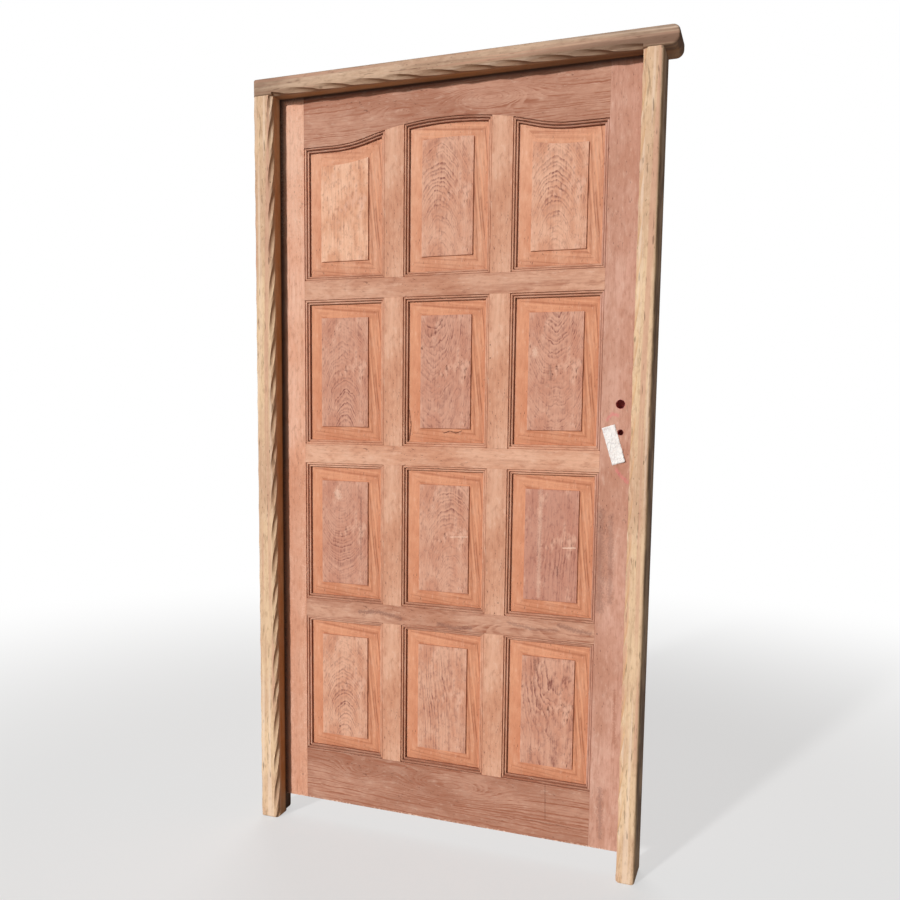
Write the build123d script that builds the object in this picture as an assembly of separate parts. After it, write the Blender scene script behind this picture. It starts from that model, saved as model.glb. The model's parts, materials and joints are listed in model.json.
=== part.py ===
from build123d import *
from math import atan, sin, sqrt
import os

# Leaf: flat faces between the mouldings, from hinge side to lock side and from the floor up
leaf_thickness = 43.0
hinge_stile_face = 79.0
lock_stile_face = 91.0
muntin_face = 55.5
panel_opening = 242.0
bottom_rail_face = 152.0
cross_rail_face = 53.0
top_rail_face = 141.0
lower_row = 396.0
middle_row = 392.0
upper_row = 399.0
top_row = 356.0

# Cathedral curve under the top rail: level shoulders, then two tangent arcs up to the crown
crown_rise = 44.0
shoulder_flat = 88.0
crown_arc_share = 0.7

# Moulding worked on the members' edges: two quirked beads, stepping down to the panel groove
moulding_width = 12.0
quirk_width = 1.4
quirk_depth = 4.5
bead_height = 2.4
bead_step = 5.0
groove_width = 13.0
groove_floor = 1.0

# Raised and fielded panels, loose in their grooves
groove_play = 2.0
tongue_play = 0.2
field_margin = 50.0
bevel_rise = 6.0
field_step = 4.6

# Mortise and tenon joints
tenon_thickness = 13.0
rail_tenon_length = 58.0
muntin_tenon_length = 20.0
tenon_shoulder = 7.0
twin_tenon_space = 34.0
mortise_play = 0.2
mortise_end_play = 1.0

# Lock holes bored into the lock stile from the front, and the paper tag beside them
spindle_backset = 43.0
spindle_height = 1164.0
spindle_hole_radius = 11.0
cylinder_backset = 41.0
cylinder_drop = 70.0
cylinder_hole_radius = 7.25
lock_hole_depth = 34.0
tag_width = 34.0
tag_length = 97.0
tag_thickness = 0.4
tag_lean_degrees = 17.5
tag_from_lock_edge = 57.0
tag_height = 1063.0

# Frame: posts and head with a rebate at the back for the leaf
hinge_post_face = 54.0
lock_post_face = 47.5
head_height = 45.0
stop_depth = 49.0
stop_gap = 4.0
rebate_width = 12.0
edge_gap = 3.0
horn_length = 58.0
head_hinge_overhang = 1.5
head_lock_overhang = 35.5
head_tenon_width = 20.0
head_tenon_depth = 36.0
head_tenon_length = 24.0
inner_arris_round = 12.0
outer_arris_round = 9.0
head_arris_round = 6.0
foot_round = 7.0
head_hinge_round = 6.0
head_lock_round = 18.0

# Hewn arrises: long slanted hollows, deep on the inner front arrises and shallow on the outer ones
hewn_pitch = 98.0
hewn_pitch_shares = (1.0, 0.9, 1.08, 0.96, 1.12, 0.88, 1.04)
hewn_ridge_depth = 3.0
hewn_hollow_depth = 9.0
outer_ridge_depth = 0.6
outer_hollow_depth = 2.2
hewn_lean = 3.6
hewn_reach = 16.0

# Butt hinges, knuckles proud of the back
hinge_places_shares = {"top": 0.88, "middle": 0.56, "bottom": 0.12}
hinge_height = 100.0
hinge_plate_width = 32.0
hinge_plate = 2.5
knuckle_count = 5
knuckle_radius = 6.0
knuckle_stand_off = 7.0
knuckle_play = 0.3
pin_radius = 3.0
pin_press_play = 0.02
pin_running_play = 0.06
pin_head_radius = 4.5
pin_head_height = 3.0
screw_count = 3
screw_end_margin = 16.0
screw_stagger = 5.0
screw_head_radius = 4.0
screw_shank_radius = 1.9
screw_length = 28.0
screw_play = 0.1

# One overrun serves all through cuts
overrun = 5.0

# Places across the frame: the origin lies under the middle of the whole door
leaf_width = hinge_stile_face + 3 * panel_opening + 2 * muntin_face + lock_stile_face
stop_overlap = rebate_width - edge_gap
sight_width = leaf_width - 2 * stop_overlap
frame_width = hinge_post_face + sight_width + lock_post_face
head_length = frame_width + head_hinge_overhang + head_lock_overhang
head_left = -head_length / 2
hinge_post_left = head_left + head_hinge_overhang
sight_left = hinge_post_left + hinge_post_face
sight_right = sight_left + sight_width
lock_post_right = sight_right + lock_post_face
leaf_left = sight_left - stop_overlap
leaf_right = leaf_left + leaf_width

# Places through the depth, front at minus y
frame_depth = stop_depth + stop_gap + leaf_thickness
frame_front = -(frame_depth + knuckle_stand_off + knuckle_radius) / 2
frame_back = frame_front + frame_depth
leaf_front = frame_front + stop_depth + stop_gap
leaf_middle = leaf_front + leaf_thickness / 2
rebate_front = frame_front + stop_depth

# Places up the frame, feet at zero
leaf_bottom = horn_length
row_heights = (lower_row, middle_row, upper_row, top_row)
row_bottoms = []
row_tops = []
level = leaf_bottom + bottom_rail_face
for row_height in row_heights:
    row_bottoms.append(level)
    row_tops.append(level + row_height)
    level = level + row_height + cross_rail_face
shoulder = row_tops[-1]
leaf_top = shoulder + top_rail_face
soffit = leaf_top + edge_gap - rebate_width
head_top = soffit + head_height
top_index = len(row_heights) - 1

# Columns of openings between stiles and muntins
column_lefts = [leaf_left + hinge_stile_face + k * (panel_opening + muntin_face) for k in range(3)]
column_rights = [left + panel_opening for left in column_lefts]
row_names = ("row4", "row3", "row2", "row1")
column_names = ("left", "middle", "right")

# Lock holes: distance from the lock edge, height above the leaf's foot, radius
cylinder_height = spindle_height - cylinder_drop
lock_holes = (
    (spindle_backset, spindle_height, spindle_hole_radius),
    (cylinder_backset, cylinder_height, cylinder_hole_radius),
)

# Arcs of the cathedral curve
curve_axis = (column_lefts[0] + column_rights[-1]) / 2
curve_half = (column_rights[-1] - column_lefts[0]) / 2 - shoulder_flat
curve_angle = 2 * atan(crown_rise / curve_half)
crown_radius = crown_arc_share * curve_half / sin(curve_angle)
hollow_radius = (1 - crown_arc_share) * curve_half / sin(curve_angle)
crown_center = shoulder + crown_rise - crown_radius
hollow_center = shoulder + hollow_radius

across = Vector(1, 0, 0)
through = Vector(0, 1, 0)
up = Vector(0, 0, 1)


def block(left, right, front, back, bottom, top):
    """Box between two corners."""
    size = (right - left, back - front, top - bottom)
    middle = Pos((left + right) / 2, (front + back) / 2, (bottom + top) / 2)
    return middle * Box(*size)


def rod(center, direction, radius, length):
    """Cylinder that starts at a point and runs along a direction."""
    return extrude(Plane(origin=center, z_dir=direction) * Circle(radius), amount=length)


def curve_height(x, inset=0.0):
    """Height of the cathedral curve, moved inwards by an inset."""
    away = abs(x - curve_axis)
    if away < (crown_radius - inset) * sin(curve_angle):
        return crown_center + sqrt((crown_radius - inset) ** 2 - away**2)
    if away < curve_half:
        return hollow_center - sqrt((hollow_radius + inset) ** 2 - (curve_half - away) ** 2)
    return shoulder - inset


def curve_direction(x):
    """Unit direction of the cathedral curve, towards the lock side."""
    away = x - curve_axis
    side = 1 if away > 0 else -1
    if abs(away) < crown_radius * sin(curve_angle):
        slope = -away / (curve_height(x) - crown_center)
    elif abs(away) < curve_half:
        slope = -side * (curve_half - abs(away)) / (hollow_center - curve_height(x))
    else:
        slope = 0.0
    return Vector(1, 0, slope).normalized()


def curve_edges(left, right, y, inset=0.0):
    """Lines and arcs of the cathedral curve between two places across the leaf."""
    turn = (crown_radius - inset) * sin(curve_angle)
    breaks = [curve_axis - curve_half, curve_axis - turn, curve_axis + turn, curve_axis + curve_half]
    places = [left] + [x for x in breaks if left < x < right] + [right]
    edges = []
    for start, end in zip(places, places[1:]):
        middle = (start + end) / 2
        points = [(x, y, curve_height(x, inset)) for x in (start, middle, end)]
        if abs(middle - curve_axis) > curve_half:
            edges.append(Line(points[0], points[-1]))
        else:
            edges.append(ThreePointArc(*points))
    return edges


def opening_face(column, row, inset, y):
    """Outline of a panel opening, moved inwards by an inset."""
    left = column_lefts[column] + inset
    right = column_rights[column] - inset
    bottom = row_bottoms[row] + inset
    if row == top_index:
        upper = curve_edges(left, right, y, inset)
        left_top = curve_height(left, inset)
        right_top = curve_height(right, inset)
    else:
        left_top = row_tops[row] - inset
        right_top = left_top
        upper = [Line((left, y, left_top), (right, y, right_top))]
    lower_corners = [(right, y, right_top), (right, y, bottom), (left, y, bottom), (left, y, left_top)]
    sides = [Line(a, b) for a, b in zip(lower_corners, lower_corners[1:])]
    return Face(Wire(upper + sides))


def prism(face, front, back):
    """Face set at the front and run through to the back."""
    return extrude(face, amount=back - front, dir=(0, 1, 0))


def moulding_section():
    """Section of a moulded edge: across it runs into the opening, up it through the leaf."""
    half = leaf_thickness / 2
    bead = (moulding_width - 2 * quirk_width) / 2
    lip = half - groove_width / 2
    edges = []
    for side in (-1, 1):
        levels = (quirk_depth, quirk_depth + bead_step)
        place = 0.0
        for index, depth in enumerate(levels):
            floor = side * (half - depth)
            crest = side * (half - depth + bead_height)
            edges.append(Line((place, floor), (place + quirk_width, floor)))
            place = place + quirk_width
            edges.append(ThreePointArc((place, floor), (place + bead / 2, crest), (place + bead, floor)))
            place = place + bead
            below = levels[index + 1] if index + 1 < len(levels) else lip
            edges.append(Line((place, floor), (place, side * (half - below))))
        wall = side * (half - lip)
        edges.append(Line((moulding_width, wall), (groove_floor, wall)))
    edges.append(Line((groove_floor, -groove_width / 2), (groove_floor, groove_width / 2)))
    edges.append(Line((0, quirk_depth - half), (0, half - quirk_depth)))
    return make_face(edges)


def mitred(strip, corner, own, other):
    """Strip cut at a corner, halfway between its own direction and the other side's."""
    return split(strip, bisect_by=Plane(origin=corner, z_dir=own - other), keep=Keep.TOP)


def straight_moulding(start, end, inward):
    """Straight moulded edge, left long at both ends for the mitres."""
    run = (end - start).normalized()
    plane = Plane(origin=start - run * moulding_width, x_dir=inward, z_dir=run)
    return extrude(plane * moulding_section(), amount=(end - start).length + 2 * moulding_width)


def corners(column, row):
    """The four corners of an opening, at the middle of the leaf's thickness."""
    left = column_lefts[column]
    right = column_rights[column]
    bottom = row_bottoms[row]
    left_top = row_tops[row]
    right_top = row_tops[row]
    if row == top_index:
        left_top = curve_height(left)
        right_top = curve_height(right)
    return {
        "bottom_left": Vector(left, leaf_middle, bottom),
        "top_left": Vector(left, leaf_middle, left_top),
        "top_right": Vector(right, leaf_middle, right_top),
        "bottom_right": Vector(right, leaf_middle, bottom),
    }


def head_directions(column, row):
    """Directions in which an opening's upper side leaves its two top corners."""
    if row == top_index:
        return curve_direction(column_lefts[column]), -curve_direction(column_rights[column])
    return across, -across


def left_moulding(column, row):
    """Moulding on the left of an opening."""
    at = corners(column, row)
    leaving, _ = head_directions(column, row)
    strip = straight_moulding(at["bottom_left"], at["top_left"], across)
    strip = mitred(strip, at["bottom_left"], up, across)
    return mitred(strip, at["top_left"], -up, leaving)


def right_moulding(column, row):
    """Moulding on the right of an opening."""
    at = corners(column, row)
    _, leaving = head_directions(column, row)
    strip = straight_moulding(at["top_right"], at["bottom_right"], -across)
    strip = mitred(strip, at["bottom_right"], up, -across)
    return mitred(strip, at["top_right"], -up, leaving)


def lower_moulding(column, row):
    """Moulding under an opening."""
    at = corners(column, row)
    strip = straight_moulding(at["bottom_right"], at["bottom_left"], up)
    strip = mitred(strip, at["bottom_right"], -across, up)
    return mitred(strip, at["bottom_left"], across, up)


def upper_moulding(column, row):
    """Moulding over an opening, along the cathedral curve in the top row."""
    at = corners(column, row)
    to_right, to_left = head_directions(column, row)
    if row == top_index:
        first = column_lefts[0] - moulding_width
        path = Wire(curve_edges(first, column_rights[-1] + moulding_width, leaf_middle))
        plane = Plane(origin=(first, leaf_middle, shoulder), x_dir=-up, z_dir=across)
        strip = sweep(plane * moulding_section(), path=path)
    else:
        strip = straight_moulding(at["top_left"], at["top_right"], -up)
    strip = mitred(strip, at["top_left"], to_right, -up)
    return mitred(strip, at["top_right"], to_left, -up)


def tenon(left, right, bottom, top, play=0.0):
    """Tenon in the middle of the leaf's thickness, or its mortise when play is given."""
    half = tenon_thickness / 2 + play
    return block(left, right, leaf_middle - half, leaf_middle + half, bottom, top)


def rail_tenon_spans(bottom, top):
    """Heights of a rail's tenons: one on a narrow rail, a pair on a wide one."""
    low = bottom + tenon_shoulder
    high = top - tenon_shoulder
    if top - bottom > 2 * cross_rail_face:
        middle = (low + high) / 2
        return [(low, middle - twin_tenon_space / 2), (middle + twin_tenon_space / 2, high)]
    return [(low, high)]


# Rails from the foot up: lower edge, upper edge, the row of openings above and the row below
rail_names = ("bottom_rail", "lower_cross_rail", "middle_cross_rail", "upper_cross_rail", "top_rail")
rail_bottoms = [leaf_bottom] + row_tops
rail_tops = row_bottoms + [leaf_top]
rows = list(range(len(row_heights)))
rails = dict(zip(rail_names, zip(rail_bottoms, rail_tops, rows + [None], [None] + rows)))
stile_lines = (column_lefts[0], column_rights[-1])


def top_rail_blank():
    """Top rail without its moulding: straight above, cathedral curve below."""
    left, right = stile_lines
    lower = curve_edges(left, right, leaf_front)
    rim = [(right, shoulder), (right, leaf_top), (left, leaf_top), (left, shoulder)]
    points = [(x, leaf_front, z) for x, z in rim]
    outline = Wire(lower + [Line(a, b) for a, b in zip(points, points[1:])])
    return prism(Face(outline), leaf_front, leaf_front + leaf_thickness)


def muntin_tenon_limits(index):
    """Width of a muntin's tenons between its two moulding lines."""
    return column_rights[index] + tenon_shoulder, column_lefts[index + 1] - tenon_shoulder


def muntin_tenons(index, row, play=0.0, end_play=0.0):
    """Tenons below and above a muntin, or their mortises when play is given."""
    left, right = muntin_tenon_limits(index)
    reach = muntin_tenon_length + end_play
    bottom = row_bottoms[row]
    top = row_tops[row]
    if row == top_index:
        top = max(curve_height(left), curve_height(right))
    below = tenon(left - play, right + play, bottom - reach, bottom, play)
    above = tenon(left - play, right + play, top, top + reach, play)
    return below, above


def rail(name):
    """Rail with its tenons, the mouldings of the openings beside it and the muntins' mortises."""
    bottom, top, row_above, row_below = rails[name]
    left, right = stile_lines
    if row_above is None:
        solid = top_rail_blank()
    else:
        solid = block(left, right, leaf_front, leaf_front + leaf_thickness, bottom, top)
    for low, high in rail_tenon_spans(bottom, top):
        solid = solid + tenon(left - rail_tenon_length, left, low, high)
        solid = solid + tenon(right, right + rail_tenon_length, low, high)
    for column in range(3):
        if row_above is not None:
            solid = solid + lower_moulding(column, row_above)
        if row_below is not None:
            solid = solid + upper_moulding(column, row_below)
    for index in range(2):
        if row_above is not None:
            solid = solid - muntin_tenons(index, row_above, mortise_play, mortise_end_play)[0]
        if row_below is not None:
            solid = solid - muntin_tenons(index, row_below, mortise_play, mortise_end_play)[1]
            if row_below == top_index:
                low, high = muntin_tenon_limits(index)
                floor = min(curve_height(low), curve_height(high))
                roof = max(curve_height(low), curve_height(high)) + mortise_end_play
                solid = solid - tenon(low - mortise_play, high + mortise_play, floor, roof, mortise_play)
    return solid


def muntin(index, row):
    """Short upright between two rails, moulded on both edges."""
    left = column_rights[index]
    right = column_lefts[index + 1]
    bottom = row_bottoms[row]
    if row == top_index:
        top = shoulder + crown_rise
        solid = block(left, right, leaf_front, leaf_front + leaf_thickness, bottom, top) - top_rail_blank()
        low, high = muntin_tenon_limits(index)
        root = tenon(low, high, shoulder, max(curve_height(low), curve_height(high)))
        solid = solid + root
    else:
        top = row_tops[row]
        solid = block(left, right, leaf_front, leaf_front + leaf_thickness, bottom, top)
    for piece in muntin_tenons(index, row):
        solid = solid + piece
    return solid + right_moulding(index, row) + left_moulding(index + 1, row)


def panel_bevel(column, row, side):
    """Bevel on one face of a panel: flat slopes, lofted along the cathedral curve in the top row."""
    tongue = groove_width / 2 - tongue_play
    if row == top_index:
        foot = opening_face(column, row, moulding_width, leaf_middle + side * tongue)
        brow = opening_face(column, row, field_margin, leaf_middle + side * (tongue + bevel_rise))
        return loft([foot, brow], ruled=True)
    width = panel_opening - 2 * moulding_width
    height = row_heights[row] - 2 * moulding_width
    run = field_margin - moulding_width
    slopes = Wedge(width, bevel_rise, height, run, run, width - run, height - run)
    if side < 0:
        slopes = mirror(slopes, about=Plane.XZ)
    middle = (column_lefts[column] + column_rights[column]) / 2
    level = (row_bottoms[row] + row_tops[row]) / 2
    return Pos(middle, leaf_middle + side * (tongue + bevel_rise / 2), level) * slopes


def panel(column, row):
    """Panel with a tongue all round, and a bevel and a stepped field on both faces."""
    tongue = groove_width / 2 - tongue_play
    edge = groove_floor + groove_play
    solid = prism(opening_face(column, row, edge, leaf_middle - tongue), -tongue, tongue)
    for side in (-1, 1):
        field = opening_face(column, row, field_margin, leaf_middle + side * tongue)
        solid = solid + panel_bevel(column, row, side)
        solid = solid + extrude(field, amount=bevel_rise + field_step, dir=(0, side, 0))
    return solid


def hinge_heights():
    """Middle height of each hinge."""
    leaf_height = leaf_top - leaf_bottom
    return {name: leaf_bottom + share * leaf_height for name, share in hinge_places_shares.items()}


hinge_axis = Vector(leaf_left - edge_gap / 2, frame_back + knuckle_stand_off, 0)
plate_front = frame_back - hinge_plate_width


def plate_block(side, middle, play=0.0):
    """Flat plate of a hinge, let into the leaf's edge or into the frame's rebate."""
    face = leaf_left if side == "door" else leaf_left - edge_gap
    left = face if side == "door" else face - hinge_plate
    half = (hinge_height - knuckle_play) / 2 + play
    back = frame_back + overrun if play else hinge_axis.Y
    return block(left, left + hinge_plate, plate_front - play, back, middle - half, middle + half)


def knuckle_spans(side, middle):
    """Heights of one side's knuckles; the frame's side has the end knuckles."""
    step = hinge_height / knuckle_count
    base = middle - hinge_height / 2
    first = 0 if side == "frame" else 1
    return [(base + k * step, base + (k + 1) * step) for k in range(first, knuckle_count, 2)]


def screw_places(middle):
    """Screw centres on a hinge plate, staggered about its middle line."""
    reach = hinge_height / 2 - screw_end_margin
    line = plate_front + hinge_plate_width / 2
    places = []
    for k in range(screw_count):
        height = middle - reach + k * 2 * reach / (screw_count - 1)
        shift = screw_stagger if k % 2 else -screw_stagger
        places.append(Vector(0, line + shift, height))
    return places


def screw(side, place, play=0.0):
    """Countersunk screw along the hinge plate's normal, or its hole when play is given."""
    way = across if side == "door" else -across
    face = leaf_left if side == "door" else leaf_left - edge_gap
    start = Vector(face, place.Y, place.Z)
    shank = rod(start, way, screw_shank_radius + play, screw_length + play)
    rim = Plane(origin=start, z_dir=way) * Circle(screw_head_radius + play)
    neck = Plane(origin=start + way * hinge_plate, z_dir=way) * Circle(screw_shank_radius + play)
    return shank + loft([rim, neck])


def hinge_leaf(side, middle):
    """Hinge plate with its knuckles, bored for the pin and cleared round the other side's knuckles."""
    solid = plate_block(side, middle)
    other = "frame" if side == "door" else "door"
    for low, high in knuckle_spans(other, middle):
        base = Vector(hinge_axis.X, hinge_axis.Y, low - knuckle_play / 2)
        solid = solid - rod(base, up, knuckle_radius + knuckle_play, high - low + knuckle_play)
    for low, high in knuckle_spans(side, middle):
        base = Vector(hinge_axis.X, hinge_axis.Y, low + knuckle_play / 2)
        solid = solid + rod(base, up, knuckle_radius, high - low - knuckle_play)
    bore = pin_radius + (pin_press_play if side == "frame" else pin_running_play)
    base = Vector(hinge_axis.X, hinge_axis.Y, middle - hinge_height / 2 - overrun)
    solid = solid - rod(base, up, bore, hinge_height + 2 * overrun)
    for place in screw_places(middle):
        solid = solid - screw(side, place, screw_play)
    return solid


def hinge_pin(middle):
    """Pin with a flat round head at the top, seated on the top knuckle."""
    top = middle + hinge_height / 2 - knuckle_play / 2
    low = middle - hinge_height / 2 + knuckle_play / 2
    stem = rod(Vector(hinge_axis.X, hinge_axis.Y, low), up, pin_radius, top - low)
    head = rod(Vector(hinge_axis.X, hinge_axis.Y, top), up, pin_head_radius, pin_head_height)
    return stem + fillet(head.edges().group_by(Axis.Z)[-1], radius=pin_head_height / 2)


def hinge_recess(side):
    """Housings for the three hinge plates and their screws, cut from a stile or a post."""
    cuts = []
    for middle in hinge_heights().values():
        cuts.append(plate_block(side, middle, mortise_play))
        cuts.extend(screw(side, place, screw_play) for place in screw_places(middle))
    return cuts


def stile(side):
    """Stile with mouldings, the rails' mortises, and either the hinge housings or the lock holes."""
    line = stile_lines[0] if side == "hinge" else stile_lines[1]
    left = leaf_left if side == "hinge" else line
    right = line if side == "hinge" else leaf_right
    solid = block(left, right, leaf_front, leaf_front + leaf_thickness, leaf_bottom, leaf_top)
    for row in range(len(row_heights)):
        solid = solid + (left_moulding(0, row) if side == "hinge" else right_moulding(2, row))
    depth = rail_tenon_length + mortise_end_play
    ends = (line - depth, line + overrun) if side == "hinge" else (line - overrun, line + depth)
    for bottom, top, _, _ in rails.values():
        for low, high in rail_tenon_spans(bottom, top):
            solid = solid - tenon(*ends, low - mortise_play, high + mortise_play, mortise_play)
    if side == "hinge":
        for cut in hinge_recess("door"):
            solid = solid - cut
        return solid
    start = leaf_front - overrun
    reach = lock_hole_depth + overrun
    for backset, height, radius in lock_holes:
        solid = solid - rod(Vector(leaf_right - backset, start, leaf_bottom + height), through, radius, reach)
    return solid


def hewn_hollows(start, along, outward, length, ridge, hollow, lean):
    """Waste that leaves an arris as a row of uneven slanted hollows."""
    outward = outward.normalized()
    side = along.cross(outward)
    plane = Plane(origin=start, x_dir=along, z_dir=side)
    slide = hewn_reach * abs(lean)
    place = -slide - hewn_pitch
    first = place
    edges = []
    index = 0
    while place < length + slide:
        step = hewn_pitch * hewn_pitch_shares[index % len(hewn_pitch_shares)]
        edges.append(ThreePointArc((place, -ridge), (place + step / 2, -hollow), (place + step, -ridge)))
        place = place + step
        index = index + 1
    rim = [(place, -ridge), (place, hewn_reach), (first, hewn_reach), (first, -ridge)]
    edges.extend(Line(a, b) for a, b in zip(rim, rim[1:]))
    waste = plane * make_face(edges)
    way = side + along * lean
    halves = [extrude(waste, amount=hewn_reach * way.length, dir=way * sign) for sign in (1, -1)]
    far = start + along * length
    low = [min(a, b) - 2 * hewn_reach * (1 - c) for a, b, c in zip(start, far, along)]
    high = [max(a, b) + 2 * hewn_reach * (1 - c) for a, b, c in zip(start, far, along)]
    stretch = block(low[0], high[0], low[1], high[1], low[2], high[2])
    return [half & stretch for half in halves]


def post(side):
    """Post with its rebate, head tenon, rounded foot, and front arrises rounded and then hewn."""
    left = hinge_post_left if side == "hinge" else sight_right
    right = sight_left if side == "hinge" else lock_post_right
    inner = right if side == "hinge" else left
    inward = across if side == "hinge" else -across
    solid = block(left, right, frame_front, frame_back, 0, soffit)
    front_edges = solid.edges().filter_by(Axis.Z).group_by(Axis.Y)[0].sort_by(Axis.X)
    radii = (outer_arris_round, inner_arris_round) if side == "hinge" else (inner_arris_round, outer_arris_round)
    for edge, radius in zip(front_edges, radii):
        solid = fillet(edge, radius=radius)
    solid = fillet(solid.faces().sort_by(Axis.Z)[0].edges(), radius=foot_round)
    deep = inner - inward.X * rebate_width
    cut = sorted((deep, inner + inward.X * overrun))
    solid = solid - block(*cut, rebate_front, frame_back + overrun, -overrun, soffit + overrun)
    middle = (left + right) / 2 - inward.X * rebate_width / 2
    solid = solid + head_tenon(middle)
    if side == "hinge":
        for piece in hinge_recess("frame"):
            solid = solid - piece
    arrises = [
        (inner, inward - through, hewn_ridge_depth, hewn_hollow_depth, hewn_lean),
        (left + right - inner, -inward - through, outer_ridge_depth, outer_hollow_depth, -hewn_lean),
    ]
    for x, outward, ridge, hollow, lean in arrises:
        start = Vector(x, frame_front, 0)
        for waste in hewn_hollows(start, up, outward, soffit, ridge, hollow, lean):
            solid = solid - waste
    return solid


def head_tenon(middle, play=0.0, end_play=0.0):
    """Tenon on top of a post, or its mortise in the head when play is given."""
    half = head_tenon_width / 2 + play
    center = (frame_front + frame_back) / 2
    deep = head_tenon_depth / 2 + play
    top = soffit + head_tenon_length + end_play
    return block(middle - half, middle + half, center - deep, center + deep, soffit, top)


def head():
    """Head with its stopped rebate, the posts' mortises, a bull-nosed lock end and hewn front arrises."""
    right = head_left + head_length
    solid = block(head_left, right, frame_front, frame_back, soffit, head_top)
    lock_end = solid.edges().filter_by(Axis.Y).group_by(Axis.X)[-1]
    solid = fillet(lock_end, radius=head_lock_round)
    hinge_end = solid.edges().filter_by(Axis.Y).group_by(Axis.X)[0]
    solid = fillet(hinge_end.sort_by(Axis.Z)[-1:], radius=head_hinge_round)
    front_edges = solid.faces().sort_by(Axis.Y)[0].edges().sort_by(Axis.X)
    solid = fillet(front_edges[1:], radius=head_arris_round)
    rebate_left = leaf_left - edge_gap
    rebate_right = leaf_right + edge_gap
    rebate_top = soffit + rebate_width
    back = frame_back + overrun
    solid = solid - block(rebate_left, rebate_right, rebate_front, back, soffit - overrun, rebate_top)
    hinge_middle = sight_left - (hinge_post_face + rebate_width) / 2
    lock_middle = sight_right + (lock_post_face + rebate_width) / 2
    for middle in (hinge_middle, lock_middle):
        solid = solid - head_tenon(middle, mortise_play, mortise_end_play)
    arrises = [
        (soffit, -up - through, hewn_ridge_depth, hewn_hollow_depth, hewn_lean, sight_left, sight_width),
        (head_top, up - through, outer_ridge_depth, outer_hollow_depth, -hewn_lean, head_left, head_length),
    ]
    for height, outward, ridge, hollow, lean, first, length in arrises:
        start = Vector(first, frame_front, height)
        for waste in hewn_hollows(start, across, outward, length, ridge, hollow, lean):
            solid = solid - waste
    return solid


def tag():
    """Blank paper tag on the lock stile's face, leaning."""
    plate = Box(tag_width, tag_thickness, tag_length)
    place = Pos(leaf_right - tag_from_lock_edge, leaf_front - tag_thickness / 2, leaf_bottom + tag_height)
    return place * Rot(0, -tag_lean_degrees, 0) * plate


def build_nodes():
    """Every piece of the door by name."""
    nodes = {"hinge_post": post("hinge"), "lock_post": post("lock"), "head": head()}
    nodes["hinge_stile"] = stile("hinge")
    nodes["lock_stile"] = stile("lock")
    for name in rails:
        nodes[name] = rail(name)
    for row, row_name in enumerate(row_names):
        for index, side in enumerate(("left", "right")):
            nodes[f"muntin_{row_name}_{side}"] = muntin(index, row)
        for column, column_name in enumerate(column_names):
            nodes[f"panel_{row_name}_{column_name}"] = panel(column, row)
    for name, middle in hinge_heights().items():
        nodes[f"{name}_hinge_frame_leaf"] = hinge_leaf("frame", middle)
        nodes[f"{name}_hinge_door_leaf"] = hinge_leaf("door", middle)
        nodes[f"{name}_hinge_pin"] = hinge_pin(middle)
    for side in ("frame", "door"):
        middles = hinge_heights().values()
        screws = [screw(side, place) for middle in middles for place in screw_places(middle)]
        nodes[f"{side}_hinge_screws"] = Compound(children=screws)
    nodes["paper_tag"] = tag()
    return nodes


os.makedirs("parts", exist_ok=True)
for node_name, shape in build_nodes().items():
    export_step(shape, f"parts/{node_name}.step")
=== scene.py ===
import json
import math

import bmesh
import bpy
from mathutils import Matrix, Vector


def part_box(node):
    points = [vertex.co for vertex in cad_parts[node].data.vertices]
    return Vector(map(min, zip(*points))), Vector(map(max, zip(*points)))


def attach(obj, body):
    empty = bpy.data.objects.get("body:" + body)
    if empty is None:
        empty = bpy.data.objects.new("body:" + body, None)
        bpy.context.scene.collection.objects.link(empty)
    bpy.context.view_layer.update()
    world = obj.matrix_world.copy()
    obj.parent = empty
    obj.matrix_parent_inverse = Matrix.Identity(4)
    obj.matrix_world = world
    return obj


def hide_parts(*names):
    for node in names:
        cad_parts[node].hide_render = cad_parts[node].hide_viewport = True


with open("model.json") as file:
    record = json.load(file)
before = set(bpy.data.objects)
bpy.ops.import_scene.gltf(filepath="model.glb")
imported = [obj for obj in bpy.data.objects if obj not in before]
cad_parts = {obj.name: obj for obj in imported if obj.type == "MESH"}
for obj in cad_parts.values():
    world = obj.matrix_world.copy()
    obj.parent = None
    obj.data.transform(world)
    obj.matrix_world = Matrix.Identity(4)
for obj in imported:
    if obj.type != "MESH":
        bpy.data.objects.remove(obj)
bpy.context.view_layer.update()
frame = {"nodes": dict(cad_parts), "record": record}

# Posts: two straight tan hardwood timbers, sawn square and rebated at the back for the leaf.
# Their front arrises are hewn by hand into long slanted hollows, and they are left raw.
# They stand on rounded feet and are tenoned into the head.


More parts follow.
